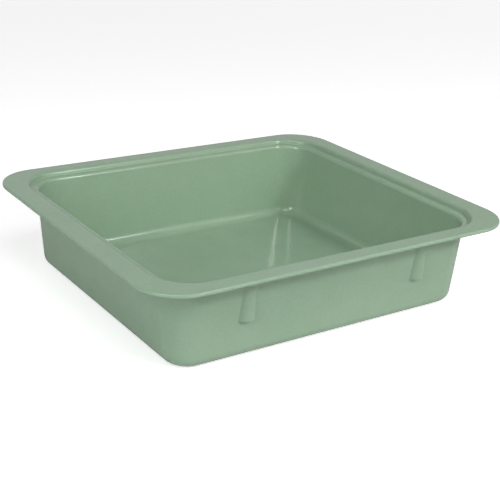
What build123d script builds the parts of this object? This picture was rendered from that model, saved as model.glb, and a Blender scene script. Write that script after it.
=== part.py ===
from build123d import *
import math
import os

# Shallow instrument tub: one injection moulding with a wide flat flange, a
# step down to a lid ledge, drafted walls, a filleted floor and four half-round
# stacking lugs, two on the front wall and two on the back wall.
#
# Frame: millimetres, +Z up, +X along the long side, +Y towards the back wall.
# Origin: centre of the flat underside, z = 0 on the table.
# "Length" runs along X, "depth" along Y; corner radii are seen in plan.

# ---------------------------------------------------------------------------
# Driving sizes
# ---------------------------------------------------------------------------
# Outlines: length, depth, corner radius. Sharp sizes, before any rounding.
RIM = (308.6, 268.5, 33.3)            # flange
OUTER_BASE = (251.0, 220.6, 18.3)     # outer shell at the table
OUTER_TOP = (263.8, 232.4, 26.5)      # outer shell at the flange's underside
CAVITY_BASE = (245.8, 215.2, 17.5)    # cavity at the floor
CAVITY_TOP = (259.8, 229.8, 26.0)     # cavity at the ledge
SEAT = (273.2, 239.3, 30.5)           # foot of the seat's riser, at the ledge

# Flange and shell
TUB_HEIGHT = 68.0          # top of the flange above the table
FLANGE_THICKNESS = 2.7
RIM_EDGE_RADIUS = 0.8      # flange's free edge, top and bottom
FOOT_RADIUS = 9.0          # outer rounding between wall and underside
FLOOR_THICKNESS = 2.4
FLOOR_RADIUS = 8.0         # inner fillet between floor and wall

# Lid seat: a step at the inner edge of the flange
SEAT_DROP = 3.55           # ledge below the flange top
SEAT_WALL = 2.2            # wall round and below the step
RISER_DRAFT = 9.0          # riser's lean from vertical, degrees
BEVEL_SLOPE = 38.0         # bevel between riser and flange, degrees from level
FLARE_RADIUS = 5.0         # hollow rounding from the outer wall out to the step
JOG_RADIUS = 1.4           # step's lower outer edge
ROOT_RADIUS = 1.2          # hollow rounding from the step's wall into the flange
NOSE_TOP_RADIUS = 2.9      # from the flange into the bevel
NOSE_LOW_RADIUS = 2.2      # from the bevel into the riser
NOSE_SHARE = 0.96          # share of the full nose radii that is cut
LIP_RADIUS = 2.8           # from the ledge down into the wall
TOE_RADIUS = 0.4           # fillet where the riser meets the ledge

# Stacking lugs
FRONT_LUG_XS = (-73.7, 76.5)   # the back pair is this pair turned half round
LUG_RADIUS = 7.4           # lug's round face
LUG_PROTRUSION = 4.3       # how far the lug stands out from the wall at its foot
LUG_Z = 29.9               # underside of the lug
LUG_EDGE_RADIUS = 0.8      # lug's bottom edge
LUG_OVERLAP = 0.5          # how far the lug runs up into the flange

LEVEL_TOLERANCE = 0.02     # for finding the edges at a given height

# ---------------------------------------------------------------------------
# Derived heights
# ---------------------------------------------------------------------------
UNDER_Z = TUB_HEIGHT - FLANGE_THICKNESS        # underside of the flange
FLANGE_MID_Z = TUB_HEIGHT - FLANGE_THICKNESS / 2
LEDGE_Z = TUB_HEIGHT - SEAT_DROP               # top of the lid ledge
STEP_LOW_Z = LEDGE_Z - SEAT_WALL               # underside of the step


def bevel_foot():
    """Height of the bevel's lower end, and its run outwards from the riser's foot.

    With full radii the two nose roundings just meet, at a point on the bevel.
    That point is found first; the bevel's line through it is then crossed
    with the riser's line.
    """
    draft = math.radians(RISER_DRAFT)
    slope = math.radians(BEVEL_SLOPE)
    riser_run = math.tan(draft)                # outwards per unit of height
    bevel_rise = math.tan(slope)               # upwards per unit outwards

    top_drop = NOSE_TOP_RADIUS * (1 - math.cos(slope))
    low_drop = NOSE_LOW_RADIUS * (math.cos(slope) - math.sin(draft))
    low_run = NOSE_LOW_RADIUS * (math.cos(draft) - math.sin(slope))
    meet_out = (SEAT_DROP - top_drop - low_drop) * riser_run + low_run
    meet_z = TUB_HEIGHT - top_drop

    z = (meet_z - (LEDGE_Z * riser_run + meet_out) * bevel_rise) / (1 - riser_run * bevel_rise)
    return z, (z - LEDGE_Z) * riser_run


def seat_outline(growth):
    """Length, depth and corner radius of the seat, grown outwards all round."""
    length, depth, radius = SEAT
    return length + 2 * growth, depth + 2 * growth, radius + growth


def level_edges(part, z):
    """Edges of the part that lie in the level plane at height z."""
    level = ShapeList()
    for edge in part.edges():
        box = edge.bounding_box()
        if abs(box.min.Z - z) < LEVEL_TOLERANCE and abs(box.max.Z - z) < LEVEL_TOLERANCE:
            level.append(edge)
    return level


def split_at_seat(edges, growth):
    """Edges wholly inside the seat's rectangle grown by this much, and the others."""
    half_length = SEAT[0] / 2 + growth
    half_depth = SEAT[1] / 2 + growth
    inner, outer = ShapeList(), ShapeList()
    for edge in edges:
        box = edge.bounding_box()
        reach_x = max(abs(box.min.X), abs(box.max.X))
        reach_y = max(abs(box.min.Y), abs(box.max.Y))
        fits = reach_x < half_length and reach_y < half_depth
        (inner if fits else outer).append(edge)
    return inner, outer


BEVEL_Z, BEVEL_OUT = bevel_foot()

# Lug axes: the outer wall at the lug's foot sets how far out they stand
foot_depth = OUTER_BASE[1] + (OUTER_TOP[1] - OUTER_BASE[1]) * LUG_Z / UNDER_Z
lug_y = foot_depth / 2 + LUG_PROTRUSION - LUG_RADIUS
front_lugs = [(x, -lug_y) for x in FRONT_LUG_XS]
back_lugs = [(-x, -y) for x, y in front_lugs]

# ---------------------------------------------------------------------------
# Tub
# ---------------------------------------------------------------------------
with BuildPart() as tub:
    # Drafted outer shell with a rounded foot
    with BuildSketch(Plane.XY):
        RectangleRounded(*OUTER_BASE)
    with BuildSketch(Plane.XY.offset(UNDER_Z)):
        RectangleRounded(*OUTER_TOP)
    loft(ruled=True)
    fillet(level_edges(tub, 0.0), radius=FOOT_RADIUS)

    # Wall round the lid seat, then the flange plate
    with BuildSketch(Plane.XY.offset(STEP_LOW_Z)):
        RectangleRounded(*seat_outline(SEAT_WALL))
    extrude(amount=FLANGE_MID_Z - STEP_LOW_Z)
    with BuildSketch(Plane.XY.offset(UNDER_Z)):
        RectangleRounded(*RIM)
    extrude(amount=FLANGE_THICKNESS)

    # Outer roundings of the step: flare, jog and root
    flare, _ = split_at_seat(level_edges(tub, STEP_LOW_Z), -2)
    fillet(flare, radius=FLARE_RADIUS)
    _, jog = split_at_seat(level_edges(tub, STEP_LOW_Z), 1)
    fillet(jog, radius=JOG_RADIUS)
    root, _ = split_at_seat(level_edges(tub, UNDER_Z), 5)
    fillet(root, radius=ROOT_RADIUS)

    # Lugs: vertical round bars half sunk in the walls, up into the flange.
    # They come before the cavity, which trims them on the inside.
    with BuildSketch(Plane.XY.offset(LUG_Z)):
        with Locations(*front_lugs, *back_lugs):
            Circle(LUG_RADIUS)
    extrude(amount=UNDER_Z - LUG_Z + LUG_OVERLAP)

    # Cavity below the ledge
    with BuildSketch(Plane.XY.offset(FLOOR_THICKNESS)):
        RectangleRounded(*CAVITY_BASE)
    with BuildSketch(Plane.XY.offset(LEDGE_Z)):
        RectangleRounded(*CAVITY_TOP)
    loft(ruled=True, mode=Mode.SUBTRACT)

    # Lid seat: a steep riser, then a bevel up to the flange's top
    with BuildSketch(Plane.XY.offset(LEDGE_Z)):
        RectangleRounded(*SEAT)
    extrude(amount=SEAT_DROP, taper=-RISER_DRAFT, mode=Mode.SUBTRACT)
    with BuildSketch(Plane.XY.offset(BEVEL_Z)):
        RectangleRounded(*seat_outline(BEVEL_OUT))
    extrude(amount=TUB_HEIGHT - BEVEL_Z, taper=BEVEL_SLOPE - 90, mode=Mode.SUBTRACT)

    # Inner roundings: floor, lip, nose (lower, then upper) and toe
    fillet(level_edges(tub, FLOOR_THICKNESS), radius=FLOOR_RADIUS)
    lip, _ = split_at_seat(level_edges(tub, LEDGE_Z), -1)
    fillet(lip, radius=LIP_RADIUS)
    fillet(level_edges(tub, BEVEL_Z), radius=NOSE_LOW_RADIUS * NOSE_SHARE)
    nose, _ = split_at_seat(level_edges(tub, TUB_HEIGHT), 5)
    fillet(nose, radius=NOSE_TOP_RADIUS * NOSE_SHARE)
    _, toe = split_at_seat(level_edges(tub, LEDGE_Z), -1)
    fillet(toe, radius=TOE_RADIUS)

    # Free edge of the flange, top and bottom
    flange_edges = level_edges(tub, TUB_HEIGHT) + level_edges(tub, UNDER_Z)
    _, rim = split_at_seat(flange_edges, 5)
    fillet(rim, radius=RIM_EDGE_RADIUS)

    # Bottom edge of each lug
    lug_edges = ShapeList([
        edge for edge in level_edges(tub, LUG_Z)
        if edge.geom_type == GeomType.CIRCLE and abs(edge.radius - LUG_RADIUS) < 0.01
    ])
    fillet(lug_edges, radius=LUG_EDGE_RADIUS)

tub.part.label = "tub"
os.makedirs("parts", exist_ok=True)
export_step(tub.part, "parts/tub.step")
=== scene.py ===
"""A sage green moulded plastic tub with a flanged rim and four lugs, on a pale floor.

The tub stands on z = 0, centred on the origin, with its length along X and its width along Y.
Front is -Y and right is +X. The tub is designed in millimetres; the scene is in metres.
"""
import math
import bpy
import numpy as np
from mathutils import Matrix, Vector


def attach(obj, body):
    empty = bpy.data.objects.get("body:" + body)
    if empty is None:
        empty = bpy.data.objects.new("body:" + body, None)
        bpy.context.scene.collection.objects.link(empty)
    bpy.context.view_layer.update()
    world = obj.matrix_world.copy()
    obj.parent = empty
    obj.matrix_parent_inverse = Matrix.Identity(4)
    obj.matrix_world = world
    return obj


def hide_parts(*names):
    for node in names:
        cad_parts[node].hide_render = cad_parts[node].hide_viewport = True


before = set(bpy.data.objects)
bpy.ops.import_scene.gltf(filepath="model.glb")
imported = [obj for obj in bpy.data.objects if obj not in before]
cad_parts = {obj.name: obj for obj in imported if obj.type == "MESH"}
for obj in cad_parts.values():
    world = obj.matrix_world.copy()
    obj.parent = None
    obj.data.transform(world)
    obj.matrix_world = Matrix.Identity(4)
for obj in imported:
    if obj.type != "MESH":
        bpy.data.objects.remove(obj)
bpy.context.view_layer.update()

scene = bpy.context.scene

# ------------------------------------------------------------------ tub sizes, millimetres
# Plan sizes are (length along X, width along Y); a CORNER is the plan radius that goes with one.
RIM, RIM_CORNER = (308.6, 268.5), 33.3
HEIGHT = 68
FLANGE_THICK = 2.7
EDGE_R = 0.8                 # rounding of the flange's free edge

OUTER_BASE, OUTER_BASE_CORNER = (251, 220.6), 18.3
OUTER_TOP, OUTER_TOP_CORNER = (263.8, 232.4), 26.5
FOOT_R = 9
BASE_INSET = 1.0             # flat ring inside the foot's rounding

INNER_BASE, INNER_BASE_CORNER = (245.8, 215.2), 17.5
INNER_TOP, INNER_TOP_CORNER = (259.8, 229.8), 26
FLOOR_THICK = 2.4
FLOOR_R = 8                  # fillet between the inside floor and the wall
FLOOR_INSET = 1.2            # flat ring inside that fillet
LIP_R = 2.8                  # bend from the inner wall onto the ledge

# the seat: a shallow step inside the rim, made of a ledge and a riser
SEAT, SEAT_CORNER = (273.2, 239.3), 30.5
SEAT_DEPTH = 3.55
SEAT_DRAFT = 9               # lean of the riser, degrees
SEAT_WALL = 2.2
TOE_R = 0.4                  # ledge into riser
NOSE_TIGHT_R = 2.2           # riser into flange: a tight bend, then a wide one
NOSE_WIDE_R = 2.9
NOSE_ANGLE = 38              # where the two bends meet, degrees
STEP_R = 1.5                 # largest bend radius under the flange
FLARE_R = 5                  # fillet from the step's underside into the outer wall

FRONT_LUG_X = (-73.7, 76.5)
LUG_R = 7.4                  # plan radius of a lug
LUG_OUT = 4.3                # how far it stands out at its flat foot
LUG_Z = 29.9                 # height of the flat foot
LUG_EDGE = 0.8
LUG_BLEND = 0.7
LUG_ROOT = 0.45
LUG_BAND_TOP, LUG_BAND_LOW = LUG_Z + 3.4, LUG_Z - 3.0
LUG_BAND_STEPS = 26
LUG_REACH = 15.5             # columns this near a lug move with it
LONG_WALL_Y = 60             # points with |y| beyond this belong to a long wall

BOW = 0.2                    # inward bow of the long walls
SHORT_BOW = 0.8              # bow of the short walls, as a share of BOW
SINK = 0.12                  # depth of the sinks inside the wall, behind the lugs

FLANGE_Z = HEIGHT - FLANGE_THICK
LEDGE_Z = HEIGHT - SEAT_DEPTH
STEP_Z = LEDGE_Z - SEAT_WALL
STEP_BEND = min(STEP_R, (FLANGE_Z - STEP_Z) * 0.45)

# Each lug as (side, x): side is -1 for front and 1 for back.
# The back pair is the front pair turned half round.
LUGS = [(-1, x) for x in FRONT_LUG_X] + [(1, -x) for x in FRONT_LUG_X]

# ------------------------------------------------------------------ look, lights and camera
BASE_COLOR = (0.3020, 0.4400, 0.3105)
TINT = (1.02, 0.995, 0.985)  # channel factors of the cloudy second colour
ROUGHNESS = 0.145

FLOOR_REACH = 6.0            # half the floor's side, metres
FLOOR_GLOW = 0.620           # floor's glow to the camera near the tub
BACKDROP = 0.99              # brightness of the far floor and the world to the camera
WORLD_BASE = 0.0
LOBES = [(79, 0.64), (235, 0.13)]    # soft lobes of the world: compass angle, strength
LOBE_HEIGHTS = (15, 50)      # degrees above the horizon between which the lobes come or go

LIGHT_DISTANCE = 1.6
LIGHT_TARGET = Vector((0, 0, 0.03))
# name, compass angle from +X counter-clockwise, height angle, size, watts
LIGHTS = [
    ("key_right", 291.5, 35.8, 0.26, 7.7),
    ("key_far", 297.5, 35.6, 0.3, 2.3),
    ("key_left", 206, 37.9, 0.27, 4.2),
    ("low_left", 205, 22, 0.6, 5.9),
    ("side_right", 330, 38, 0.6, 3.3),
    ("top_left", 240, 60, 0.6, 5.3),
    ("low_right", 300, 17, 0.7, 1.9),
    ("back_right", 40, 38, 0.6, 0.6),
    ("back_left", 120, 38, 0.6, 0.9),
]

CAMERA_RIGHT = (0.82937515, -0.55639678, 0.05059131)
CAMERA_UP = (0.17050626, 0.33830867, 0.92545927)
CAMERA_FORWARD = (0.53203803, 0.75892679, -0.37545394)
CAMERA_PLACE = (-0.443883, -0.640229, 0.340643)


def add_camera():
    data = bpy.data.cameras.new("camera")
    data.sensor_fit = "HORIZONTAL"
    data.sensor_width = 36.0
    data.lens = 77.478
    data.clip_start = 0.01
    data.clip_end = 50.0
    camera = bpy.data.objects.new("camera", data)
    scene.collection.objects.link(camera)
    axes = zip(CAMERA_RIGHT, CAMERA_UP, CAMERA_FORWARD, CAMERA_PLACE)
    camera.matrix_world = Matrix(
        [(right, up, -forward, place) for right, up, forward, place in axes] + [(0, 0, 0, 1)])
    scene.camera = camera


# ------------------------------------------------------------------ wall section
# A section row is (offset from the tub's centre, z, corner radius, tag).
# A line is a function from z to (offset, z, corner radius).
def sloped_line(base, base_corner, base_z, top, top_corner, top_z):
    slope = (top - base) / (top_z - base_z)
    corner_slope = (top_corner - base_corner) / (top_z - base_z)
    return lambda z: (base + slope * (z - base_z), z, base_corner + corner_slope * (z - base_z))


def upright_line(offset, corner):
    return lambda z: (offset, z, corner)


def outer_line(axis):
    return sloped_line(OUTER_BASE[axis] / 2, OUTER_BASE_CORNER, 0,
                       OUTER_TOP[axis] / 2, OUTER_TOP_CORNER, FLANGE_Z)


def turn_onto(line):
    """Angle in degrees between a sloped wall and the level."""
    return 90 - math.degrees(math.atan(line(1)[0] - line(0)[0]))


def tangent_length(radius, turn):
    return radius * math.tan(math.radians(turn) / 2)


def arc(steps, start, stop):
    return np.radians(np.linspace(start, stop, steps + 1))


def span(start, end, fractions, tag):
    """Rows at the given fractions of the straight way from start to end."""
    return [(*(a + (b - a) * s for a, b in zip(start, end)), tag) for s in fractions]


def bend(center, radius, out, up, angles, line, tag):
    """Rows round an arc, angles from the vertical. out and up are 1 or -1, the way it bulges.

    The corner radius is the line's at that height, plus the distance out from the line."""
    rows = []
    for angle in angles:
        offset = float(center[0] + out * radius * math.sin(angle))
        z = float(center[1] + up * radius * math.cos(angle))
        line_offset, _, line_corner = line(z)
        rows.append((offset, z, line_corner + (offset - line_offset), tag))
    return rows


def inner_rows(axis):
    """Inside floor's edge, fillet, inner wall and lip."""
    base, top = INNER_BASE[axis] / 2, INNER_TOP[axis] / 2
    wall = sloped_line(base, INNER_BASE_CORNER, FLOOR_THICK, top, INNER_TOP_CORNER, LEDGE_Z)
    turn = turn_onto(wall)
    floor_tangent = tangent_length(FLOOR_R, turn)
    inset = floor_tangent + FLOOR_INSET
    floor = [(base - inset, FLOOR_THICK, max(INNER_BASE_CORNER - inset, 2.0), "floor")]
    fillet = bend((base - floor_tangent, FLOOR_THICK + FLOOR_R), FLOOR_R, 1, -1,
                  arc(14, 0, turn), wall, "floor_fillet")
    lip = bend((top + tangent_length(LIP_R, turn), LEDGE_Z - LIP_R), LIP_R, -1, 1,
               arc(7, turn, 0), wall, "lip")
    fractions = (0.012, 0.05, 0.12, 0.2, 0.28, 0.36, 0.44, 0.52, 0.6, 0.68, 0.76, 0.84,
                 0.91, 0.96, 0.99)
    return floor + fillet + span(fillet[-1][:3], lip[0][:3], fractions, "inner_wall") + lip


def seat_rows(axis, start):
    """Ledge, toe, riser and nose. The riser is the gap between the last toe and first nose row."""
    seat = SEAT[axis] / 2
    line = upright_line(seat, SEAT_CORNER)
    lean = math.radians(SEAT_DRAFT)
    split = math.radians(NOSE_ANGLE)
    turn = 90 - SEAT_DRAFT
    toe_tangent = tangent_length(TOE_R, turn)
    ledge_end = (seat - toe_tangent, LEDGE_Z, SEAT_CORNER - toe_tangent)
    rows = span(start, ledge_end, (0.08, 0.5, 0.92), "ledge")
    rows += bend((ledge_end[0], LEDGE_Z + TOE_R), TOE_R, 1, -1, arc(5, 0, turn), line, "toe")
    nose_drop = (NOSE_WIDE_R * (1 - math.cos(split))
                 + NOSE_TIGHT_R * (math.cos(split) - math.sin(lean)))
    riser_top = seat + (SEAT_DEPTH - nose_drop) * math.tan(lean)
    tight_center = (riser_top + NOSE_TIGHT_R * math.cos(lean),
                    HEIGHT - nose_drop - NOSE_TIGHT_R * math.sin(lean))
    rows += bend(tight_center, NOSE_TIGHT_R, -1, 1, arc(6, turn, NOSE_ANGLE), line, "nose")
    wide_center = (rows[-1][0] + NOSE_WIDE_R * math.sin(split), HEIGHT - NOSE_WIDE_R)
    rows += bend(wide_center, NOSE_WIDE_R, -1, 1, arc(6, NOSE_ANGLE, 0)[1:], line, "nose")
    return rows


def rim_rows(axis, start):
    """Flange top, free edge, flange underside and the outside of the step below it."""
    rim = RIM[axis] / 2
    rim_line = upright_line(rim, RIM_CORNER)
    edge_x = rim - EDGE_R
    rows = span(start, (edge_x, HEIGHT, RIM_CORNER - EDGE_R),
                (0.03, 0.25, 0.5, 0.75, 0.96), "flange_top")
    for center_z, angles in ((HEIGHT - EDGE_R, arc(6, 0, 90)),
                             (FLANGE_Z + EDGE_R, arc(6, 90, 180))):
        rows += bend((edge_x, center_z), EDGE_R, 1, 1, angles, rim_line, "edge")
    step, step_corner = SEAT[axis] / 2 + SEAT_WALL, SEAT_CORNER + SEAT_WALL
    step_line = upright_line(step, step_corner)
    rows += span(rows[-1][:3], (step + STEP_BEND, FLANGE_Z, step_corner + STEP_BEND),
                 (0.04, 0.5, 0.96), "flange_under")
    rows += bend((step + STEP_BEND, FLANGE_Z - STEP_BEND), STEP_BEND, -1, 1,
                 arc(4, 0, 90), step_line, "root")
    rows += bend((step - STEP_BEND, STEP_Z + STEP_BEND), STEP_BEND, 1, -1,
                 arc(4, 90, 0), step_line, "jog")
    return rows


def outer_rows(axis, start):
    """Step's underside, fillet, outer wall, foot and the underside's edge."""
    wall = outer_line(axis)
    turn = turn_onto(wall)
    flare_x = wall(STEP_Z)[0] + tangent_length(FLARE_R, turn)
    flare = bend((flare_x, STEP_Z - FLARE_R), FLARE_R, -1, 1, arc(8, 0, turn), wall, "wall_root")
    rows = [(flare_x + (start[0] - flare_x) * 0.25, STEP_Z, flare[0][2], "jog_under")] + flare
    for z in (flare[-1][1] - 0.4, 56, 52, 48, 44, 40, 37, 34.5):
        rows.append((*wall(z), "outer_wall"))
    rows += span(wall(LUG_BAND_TOP), wall(LUG_BAND_LOW),
                 [i / LUG_BAND_STEPS for i in range(LUG_BAND_STEPS + 1)], "lug_band")
    base = OUTER_BASE[axis] / 2
    foot_tangent = tangent_length(FOOT_R, turn)
    foot = bend((base - foot_tangent, FOOT_R), FOOT_R, 1, -1, arc(14, turn, 0), wall, "foot")
    rows += span(wall(LUG_BAND_LOW), foot[0][:3], (0.08, 0.25, 0.5, 0.75, 0.95), "outer_wall")
    inset = foot_tangent + BASE_INSET
    return rows + foot + [(base - inset, 0.0, OUTER_BASE_CORNER - inset, "base")]


def section(axis):
    """Half-section through a side, from the inside floor over the rim to the underside."""
    rows = inner_rows(axis)
    rows += seat_rows(axis, rows[-1][:3])
    rows += rim_rows(axis, rows[-1][:3])
    return rows + outer_rows(axis, rows[-1][:3])


# ------------------------------------------------------------------ columns round the tub
def mirrored(half):
    """Half a list of places, starting at 0, with its mirror image in front."""
    return np.array([-v for v in half[:0:-1]] + half, float)


# columns across one lug, dense at its outline
HALF_LUG = np.array([-14.5, -12.2, -10.4, -9.2, -8.4, -7.9, -7.5, -7.2, -6.95, -6.7, -6.45,
                     -6.2, -5.9, -5.5, -4.9, -4.1, -3.1, -1.9, -0.6])
LUG_COLUMNS = np.concatenate([HALF_LUG, -HALF_LUG[::-1]])
DENSE_MIDDLE = [0, 0.8, 1.6, 2.4, 3.2, 4.2, 5.6, 8, 12, 17, 23, 30, 37, 44]
BETWEEN_LUGS = mirrored(DENSE_MIDDLE + [50, 55])
SIDE_Y = mirrored(DENSE_MIDDLE + [51, 58, 65, 71, 76])


def long_wall_columns(left_lug, right_lug):
    return np.concatenate([left_lug + LUG_COLUMNS, BETWEEN_LUGS, right_lug + LUG_COLUMNS])


FRONT_X = long_wall_columns(*FRONT_LUG_X)
BACK_X = long_wall_columns(-FRONT_LUG_X[1], -FRONT_LUG_X[0])

CORNER_STEPS = 20
END_STEPS = (0.34, 0.67)     # two more columns in the stretch out to each corner
COUNT_X = len(FRONT_X) + 2 * len(END_STEPS)
COUNT_Y = len(SIDE_Y) + 2 * len(END_STEPS)
RING_COUNT = 2 * (COUNT_X + COUNT_Y) + 4 * (CORNER_STEPS + 1)


def with_ends(columns, end):
    """The columns, plus the last stretch out to the corners at -end and end."""
    steps = np.array(END_STEPS)
    low = -end + (columns[0] + end) * steps
    high = end - (end - columns[-1]) * steps[::-1]
    return np.concatenate([low, columns, high])


def tub_rings():
    """One closed ring per section row, counter-clockwise from the right side's front end."""
    rings, tags = [], []
    for row_x, row_y in zip(section(0), section(1), strict=True):
        side_x, z_x, corner_x, tag = row_x
        side_y, z_y, corner_y, _ = row_y
        radius = max(1.0, (corner_x + corner_y) / 2)
        center_x, center_y = side_x - radius, side_y - radius
        front = with_ends(FRONT_X, center_x)
        back = with_ends(BACK_X, center_x)
        sides = with_ends(SIDE_Y, center_y)

        def corner(sign_x, sign_y, start):
            points = []
            for i in range(CORNER_STEPS + 1):
                angle = math.radians(start + 90.0 * i / CORNER_STEPS)
                share = math.sin(angle) ** 2
                points.append((sign_x * center_x + radius * math.cos(angle),
                               sign_y * center_y + radius * math.sin(angle),
                               z_x * (1 - share) + z_y * share))
            return points

        ring = [(side_x, y, z_x) for y in sides] + corner(1, 1, 0)
        ring += [(x, side_y, z_y) for x in back[::-1]] + corner(-1, 1, 90)
        ring += [(-side_x, y, z_x) for y in sides[::-1]] + corner(-1, -1, 180)
        ring += [(x, -side_y, z_y) for x in front] + corner(1, -1, 270)
        rings.append(ring)
        tags.append(tag)
    return np.array(rings, float), tags


# ------------------------------------------------------------------ lugs
LONG_WALL = outer_line(1)


def wall_y(z):
    return LONG_WALL(z)[0]


def smooth_max(a, b, blend):
    share = np.clip(0.5 + 0.5 * (a - b) / blend, 0, 1)
    return b + (a - b) * share + blend * share * (1 - share)


def ease(t):
    t = np.clip(t, 0, 1)
    return t * t * (3 - 2 * t)


LUG_CENTER_Y = wall_y(LUG_Z) + LUG_OUT - LUG_R


def lug_half_width(z):
    """Half the lug's width where it meets the leaning wall."""
    return math.sqrt(max(LUG_R ** 2 - max(wall_y(z) - LUG_CENTER_Y, 0.0) ** 2, 1.0))


LUG_HALF = lug_half_width(LUG_Z)


def lug_face(x):
    """Y of the lug's round face, or well inside the tub past its outline."""
    square = LUG_R ** 2 - x * x
    return LUG_CENTER_Y + math.sqrt(square) if square > 0 else LUG_CENTER_Y - 20


def column_x(offset, z):
    """A column follows the lug's narrowing outline, and relaxes to its own place further out."""
    distance = abs(offset)
    narrowing = lug_half_width(min(max(z, LUG_Z), FLANGE_Z)) / LUG_HALF
    edge = LUG_HALF + 1.0
    if distance <= edge:
        return offset * narrowing
    relax = 1 - float(ease((distance - edge) / (LUG_REACH - edge)))
    return math.copysign(distance - edge * (1 - narrowing) * relax, offset)


def lug_profile(offset):
    """(y, z) rows of one column: face, rounded edge, underside, small fillet, wall."""
    def stand_out(z):
        wall = wall_y(z)
        return float(smooth_max(lug_face(column_x(offset, z)), wall, LUG_BLEND) - wall)

    out = stand_out(LUG_Z)
    edge, root = min(LUG_EDGE, 0.62 * out), min(LUG_ROOT, 0.3 * out)
    # where the lug fades out into the wall the rows keep a small spacing of their own
    thin = math.exp(-(out / 0.9) ** 2)
    edge_z, root_z, under_z = max(edge, 0.5 * thin), max(root, 0.4 * thin), 0.36 * thin
    rows = []
    for t in (1, 0.72, 0.46, 0.26, 0.1):
        z = LUG_Z + edge_z + (LUG_BAND_TOP - LUG_Z - edge_z) * t
        rows.append((wall_y(z) + stand_out(z), z))
    for angle in arc(7, 0, 90):
        z = LUG_Z + edge_z - edge_z * math.sin(angle)
        rows.append((wall_y(z) + out - edge + edge * math.cos(angle), z))
    edge_y = rows[-1][0]
    root_y = wall_y(LUG_Z) + root
    for t in (0.25, 0.5, 0.75):
        rows.append((edge_y + (root_y - edge_y) * t, LUG_Z - under_z * t))
    for angle in arc(5, 0, 90):
        z = LUG_Z - under_z - root_z + root_z * math.cos(angle)
        rows.append((wall_y(z) + root - root * math.sin(angle), z))
    root_end = LUG_Z - under_z - root_z
    for t in (0.12, 0.3, 0.55, 0.78, 1):
        z = root_end + (LUG_BAND_LOW - root_end) * t
        rows.append((wall_y(z), z))
    # away from the lug the rows spread out evenly up the flat wall
    near = 1 - float(ease((abs(offset) - LUG_HALF - 1.2) / 3.5))
    even_z = np.linspace(LUG_BAND_TOP, LUG_BAND_LOW, len(rows))
    even = np.stack([wall_y(even_z), even_z], 1)
    return np.array(rows) * near + even * (1 - near)


def add_lugs(rings, tags):
    """Pushes the outer wall's columns out over the four lugs."""
    band = [i for i, tag in enumerate(tags) if tag == "lug_band"]
    above = [i for i, tag in enumerate(tags)
             if tag in ("outer_wall", "wall_root", "jog_under") and rings[i, 0, 2] > LUG_Z]
    start = rings[band[0]].copy()
    for side, lug_x in LUGS:
        near = (np.abs(start[:, 0] - lug_x) < LUG_REACH) & (start[:, 1] * side > LONG_WALL_Y)
        for column in np.where(near)[0]:
            offset = start[column, 0] - lug_x
            for i in above:
                _, y, z = rings[i, column]
                x = column_x(offset, z)
                rings[i, column, 0] = lug_x + x
                rings[i, column, 1] = side * smooth_max(lug_face(x), abs(y), LUG_BLEND)
            for i, (y, z) in zip(band, lug_profile(offset), strict=True):
                rings[i, column] = (lug_x + column_x(offset, z), side * y, z)


# ------------------------------------------------------------------ moulding marks
def bow_weight(across, along, depth, reach):
    """1 at the middle of a pair of walls, 0 near its corners and more than depth inside it."""
    place = np.clip(along / (np.abs(along).max() * reach), -1, 1)
    on_wall = np.abs(across) > np.abs(across).max() - depth
    return np.where(on_wall, np.cos(place * math.pi / 2) ** 2, 0.0)


def add_moulding_marks(rings, tags):
    """A slight inward bow of the walls, and shallow sinks inside them behind the lugs."""
    for i, tag in enumerate(tags):
        if tag not in ("inner_wall", "outer_wall", "lug_band"):
            continue
        x, y, z = rings[i].T.copy()
        height = np.clip((z - FLOOR_THICK) / (LEDGE_Z - FLOOR_THICK), 0, 1)
        bow = BOW * np.sin(math.pi * height) ** 2
        rings[i, :, 1] -= np.sign(y) * bow * bow_weight(y, x, depth=9, reach=0.86)
        rings[i, :, 0] -= np.sign(x) * bow * SHORT_BOW * bow_weight(x, y, depth=4, reach=0.84)
        if tag == "inner_wall":
            # a sink is a narrow bell along X that fades in and out over 9 mm of height
            fade = ease((z - LUG_Z + 3) / 9) * ease((LEDGE_Z - 1.5 - z) / 9)
            for side, lug_x in LUGS:
                sink = np.exp(-((x - lug_x) / 3.6) ** 2) * fade
                rings[i, :, 1] += side * SINK * np.where(y * side > LONG_WALL_Y, sink, 0)


# ------------------------------------------------------------------ tub mesh
def fill_ring(verts, first, faces_up):
    """Fills the ring that starts at vertex first with a grid of quads; returns verts, faces.

    The grid's corners are the middles of the corner arcs; its inside is a Coons patch."""
    # ring index of the front-left arc's middle
    front_left = 2 * COUNT_Y + COUNT_X + 2 * (CORNER_STEPS + 1) + CORNER_STEPS // 2
    across, deep = COUNT_X + CORNER_STEPS + 1, COUNT_Y + CORNER_STEPS + 1

    def walk(start, step, count):
        return [first + (front_left + start + step * i) % RING_COUNT for i in range(count + 1)]

    front, right = walk(0, 1, across), walk(across, 1, deep)
    back, left = walk(2 * across + deep, -1, across), walk(2 * (across + deep), -1, deep)
    F, R, B, L = verts[front], verts[right], verts[back], verts[left]

    index = np.zeros((across + 1, deep + 1), int)
    index[0], index[across] = left, right
    index[:, 0], index[:, deep] = front, back
    inside = []
    for i in range(1, across):
        for j in range(1, deep):
            x = (F[i, 0] - F[0, 0]) / (F[across, 0] - F[0, 0])
            y = (L[j, 1] - L[0, 1]) / (L[deep, 1] - L[0, 1])
            index[i, j] = len(verts) + len(inside)
            inside.append((1 - y) * F[i] + y * B[i] + (1 - x) * L[j] + x * R[j] - (
                (1 - x) * (1 - y) * F[0] + x * (1 - y) * F[across]
                + (1 - x) * y * B[0] + x * y * B[across]))
    faces = []
    for i in range(across):
        for j in range(deep):
            quad = (index[i, j], index[i + 1, j], index[i + 1, j + 1], index[i, j + 1])
            faces.append(quad if faces_up else quad[::-1])
    return np.vstack([verts, inside]), faces


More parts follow.
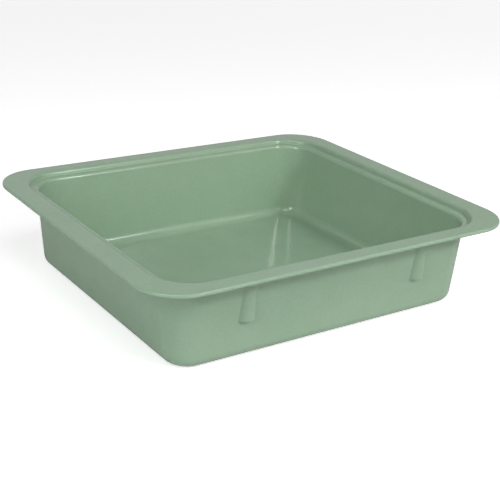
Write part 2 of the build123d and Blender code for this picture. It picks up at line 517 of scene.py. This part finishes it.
def tub_shape():
    rings, tags = tub_rings()
    add_lugs(rings, tags)
    add_moulding_marks(rings, tags)
    ring_total, count, _ = rings.shape
    faces = []
    for i in range(ring_total - 1):
        here, below = i * count, (i + 1) * count
        for j in range(count):
            k = (j + 1) % count
            faces.append((here + j, below + j, below + k, here + k))
    verts = rings.reshape(-1, 3)
    # the inside floor, then the underside
    for first, faces_up in ((0, True), ((ring_total - 1) * count, False)):
        verts, patch = fill_ring(verts, first, faces_up)
        faces += patch
    return verts, np.array(faces)


def add_tub():
    verts, faces = tub_shape()
    mesh = bpy.data.meshes.new("tub_body")
    mesh.vertices.add(len(verts))
    mesh.vertices.foreach_set("co", (verts / 1000.0).astype(np.float32).ravel())
    mesh.loops.add(faces.size)
    mesh.loops.foreach_set("vertex_index", faces.astype(np.int32).ravel())
    mesh.polygons.add(len(faces))
    mesh.polygons.foreach_set("loop_start", np.arange(0, faces.size, 4, dtype=np.int32))
    mesh.polygons.foreach_set("loop_total", np.full(len(faces), 4, dtype=np.int32))
    mesh.polygons.foreach_set("use_smooth", np.ones(len(faces), dtype=bool))
    mesh.update(calc_edges=True)
    mesh.validate()
    tub = bpy.data.objects.new("tub_body", mesh)
    scene.collection.objects.link(tub)
    return tub


# ------------------------------------------------------------------ shader helper
class Graph:
    """Short ways to add nodes. An input takes either a value or another node's output."""

    def __init__(self, owner):
        owner.use_nodes = True
        self.tree = owner.node_tree

    def feed(self, socket, value):
        if isinstance(value, bpy.types.NodeSocket):
            self.tree.links.new(value, socket)
        else:
            socket.default_value = value

    def node(self, kind, inputs=None, **settings):
        node = self.tree.nodes.new(kind)
        for name, value in settings.items():
            setattr(node, name, value)
        for key, value in (inputs or {}).items():
            self.feed(node.inputs[key], value)
        return node

    def math(self, operation, *values):
        return self.node("ShaderNodeMath", dict(enumerate(values)),
                         operation=operation).outputs[0]

    def smoothstep(self, value, start, stop, low=0.0, high=1.0):
        inputs = {"Value": value, "From Min": start, "From Max": stop,
                  "To Min": low, "To Max": high}
        return self.node("ShaderNodeMapRange", inputs,
                         interpolation_type="SMOOTHSTEP").outputs["Result"]


# ------------------------------------------------------------------ tub plastic
def plastic(name):
    """Semi-gloss, faintly mottled plastic with a fine moulded skin, scuffs, rubbed edges and
    painted shade in its hollows.
    """
    mat = bpy.data.materials.new(name)
    graph = Graph(mat)
    bsdf = graph.tree.nodes["Principled BSDF"]
    # plain colour and roughness stay as the values behind the links made below
    bsdf.inputs["Base Color"].default_value = (*BASE_COLOR, 1)
    bsdf.inputs["Roughness"].default_value = ROUGHNESS
    bsdf.inputs["IOR"].default_value = 1.5
    coord = graph.node("ShaderNodeTexCoord").outputs["Object"]
    pointiness = graph.node("ShaderNodeNewGeometry").outputs["Pointiness"]

    def noise(scale, detail, roughness, distortion=0.0, vector=coord):
        inputs = {"Vector": vector, "Scale": scale, "Detail": detail,
                  "Roughness": roughness, "Distortion": distortion}
        return graph.node("ShaderNodeTexNoise", inputs).outputs[0]

    def hairlines(stretch, turn, start, stop):
        """Fine parallel lines: stretched noise, turned by so many degrees about Z."""
        inputs = {"Vector": coord, "Rotation": (0, 0, math.radians(turn)), "Scale": stretch}
        vector = graph.node("ShaderNodeMapping", inputs).outputs["Vector"]
        lines = noise(scale=1.0, detail=1.0, roughness=0.5, vector=vector)
        return graph.smoothstep(lines, start, stop)

    def layered(value, swings=(), masks=()):
        """Adds noises centred on zero, then masks, each times its amount."""
        for texture, amount in swings:
            centred = graph.math("SUBTRACT", texture, 0.5)
            value = graph.math("MULTIPLY_ADD", centred, amount, value)
        for mask, amount in masks:
            value = graph.math("MULTIPLY_ADD", mask, amount, value)
        return value

    cloud = noise(scale=7.0, detail=2.0, roughness=0.55)
    mottle = noise(scale=46.0, detail=4.0, roughness=0.6)
    grain = noise(scale=430.0, detail=2.0, roughness=0.6)
    speck = noise(scale=1500.0, detail=1.0, roughness=0.5)
    peel = noise(scale=190.0, detail=2.0, roughness=0.45)
    skin = noise(scale=2400.0, detail=1.0, roughness=0.5)
    wave = noise(scale=17.0, detail=1.0, roughness=0.4)

    # hairline rubs in two directions, broken up by a coarser noise
    rub_a = hairlines(stretch=(16, 1300, 16), turn=17, start=0.66, stop=0.74)
    rub_b = hairlines(stretch=(1500, 18, 18), turn=-31, start=0.67, stop=0.75)
    patch = noise(scale=19.0, detail=3.0, roughness=0.6, distortion=0.6)
    patch = graph.smoothstep(patch, start=0.46, stop=0.66)
    rubs = graph.math("MULTIPLY", graph.math("MAXIMUM", rub_a, rub_b), patch)

    # rubbed convex edges, broken up, and painted shade: the colour darkens in the concave places,
    # where less light reaches
    edge = graph.smoothstep(pointiness, start=0.515, stop=0.56)
    breaks = graph.smoothstep(mottle, start=0.36, stop=0.66, low=0.25, high=1.0)
    edge = graph.math("MULTIPLY", edge, breaks)
    # painted shade: this mask darkens the colour where the surface is concave
    painted_hollow_shade = graph.smoothstep(pointiness, start=0.44, stop=0.49, low=1.0, high=0.0)

    brightness = layered(
        1.0,
        swings=((cloud, 0.09), (mottle, 0.13), (grain, 0.14), (speck, 0.06)),
        masks=((rubs, 0.03), (edge, 0.05), (painted_hollow_shade, -0.045)))
    # the Mix node's colour sockets share their names with others, so they go by number
    tinted = [channel * factor for channel, factor in zip(BASE_COLOR, TINT)]
    tint = graph.node("ShaderNodeMix", {
        0: graph.smoothstep(cloud, start=0.3, stop=0.7),
        6: (*BASE_COLOR, 1),
        7: (*tinted, 1),
    }, data_type="RGBA").outputs[2]
    color = graph.node("ShaderNodeVectorMath", {0: tint, "Scale": brightness}, operation="SCALE")
    graph.feed(bsdf.inputs["Base Color"], color.outputs[0])

    roughness = layered(
        ROUGHNESS,
        swings=((cloud, 0.06), (mottle, 0.07), (grain, 0.05)),
        masks=((rubs, 0.09), (edge, 0.07)))
    graph.feed(bsdf.inputs["Roughness"], graph.math("MAXIMUM", roughness, 0.06))

    # heights in metres: long ripples of the wall, orange peel, mould skin, rubs
    height = layered(graph.math("MULTIPLY", wave, 50e-6),
                     masks=((peel, 4e-6), (skin, 1.0e-6), (rubs, -0.8e-6)))
    bump = graph.node("ShaderNodeBump", {"Strength": 1.0, "Distance": 1.0, "Height": height})
    graph.feed(bsdf.inputs["Normal"], bump.outputs["Normal"])
    return mat


# ------------------------------------------------------------------ stage
def floor_material():
    """Matt pale floor whose glow, seen only by the camera, rises to the backdrop far out."""
    mat = bpy.data.materials.new("floor")
    graph = Graph(mat)
    bsdf = graph.tree.nodes["Principled BSDF"]
    bsdf.inputs["Base Color"].default_value = (0.77, 0.77, 0.77, 1)
    bsdf.inputs["Roughness"].default_value = 0.75
    bsdf.inputs["Specular IOR Level"].default_value = 0.2
    bsdf.inputs["Emission Color"].default_value = (1, 1, 1, 1)
    camera_ray = graph.node("ShaderNodeLightPath").outputs["Is Camera Ray"]
    position = graph.node("ShaderNodeNewGeometry").outputs["Position"]
    distance = graph.node("ShaderNodeVectorMath", {0: position}, operation="LENGTH")
    glow = graph.smoothstep(distance.outputs["Value"], start=0.5, stop=3.2,
                            low=FLOOR_GLOW, high=BACKDROP)
    graph.feed(bsdf.inputs["Emission Strength"], graph.math("MULTIPLY", camera_ray, glow))
    return mat


def add_floor():
    reach = FLOOR_REACH
    mesh = bpy.data.meshes.new("floor")
    mesh.from_pydata([(-reach, -reach, 0), (reach, -reach, 0), (reach, reach, 0),
                      (-reach, reach, 0)], [], [(0, 1, 2, 3)])
    floor = bpy.data.objects.new("floor", mesh)
    scene.collection.objects.link(floor)
    mesh.materials.append(floor_material())
    return floor


def add_world():
    """Soft lobes low in the sky light the tub; the camera sees plain near-white."""
    world = bpy.data.worlds.new("world")
    graph = Graph(world)
    background = graph.tree.nodes["Background"]
    background.inputs["Color"].default_value = (1, 1, 1, 1)
    # plain strength stays as the value behind the link made below
    background.inputs["Strength"].default_value = WORLD_BASE
    direction = graph.node("ShaderNodeTexCoord").outputs["Generated"]
    axes = graph.node("ShaderNodeSeparateXYZ", {0: direction}).outputs
    start, stop = (math.sin(math.radians(height)) for height in LOBE_HEIGHTS)
    low_sky = graph.smoothstep(axes["Z"], start, stop, low=1.0, high=0.0)
    level = graph.node("ShaderNodeCombineXYZ", {"X": axes["X"], "Y": axes["Y"]}).outputs[0]
    level = graph.node("ShaderNodeVectorMath", {0: level}, operation="NORMALIZE").outputs[0]
    glow = None
    for compass, strength in LOBES:
        angle = math.radians(compass)
        toward = (math.cos(angle), math.sin(angle), 0)
        dot = graph.node("ShaderNodeVectorMath", {0: level, 1: toward}, operation="DOT_PRODUCT")
        facing = graph.math("MAXIMUM", dot.outputs["Value"], 0.0)
        lobe = graph.math("MULTIPLY", graph.math("MULTIPLY", facing, facing), strength)
        glow = lobe if glow is None else graph.math("ADD", glow, lobe)
    glow = graph.math("MULTIPLY_ADD", glow, low_sky, WORLD_BASE)
    camera_ray = graph.node("ShaderNodeLightPath").outputs["Is Camera Ray"]
    backdrop = graph.math("MULTIPLY", camera_ray, graph.math("SUBTRACT", BACKDROP, glow))
    graph.feed(background.inputs["Strength"], graph.math("ADD", glow, backdrop))
    scene.world = world


def add_light(name, compass, height, size, watts):
    """A square soft light that faces the target."""
    a, e = math.radians(compass), math.radians(height)
    away = Vector((math.cos(a) * math.cos(e), math.sin(a) * math.cos(e), math.sin(e)))
    data = bpy.data.lights.new(name, "AREA")
    data.shape = "SQUARE"
    data.size = size
    data.energy = watts
    light = bpy.data.objects.new(name, data)
    scene.collection.objects.link(light)
    light.location = LIGHT_TARGET + away * LIGHT_DISTANCE
    light.rotation_mode = "QUATERNION"
    light.rotation_quaternion = away.to_track_quat("Z", "Y")


# ------------------------------------------------------------------ scene
add_camera()

tub = add_tub()
tub.data.materials.append(plastic("tub_plastic"))
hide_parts("tub")
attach(tub, "root")

add_floor()
add_world()
for light in LIGHTS:
    add_light(*light)
scene.view_settings.view_transform = "Standard"
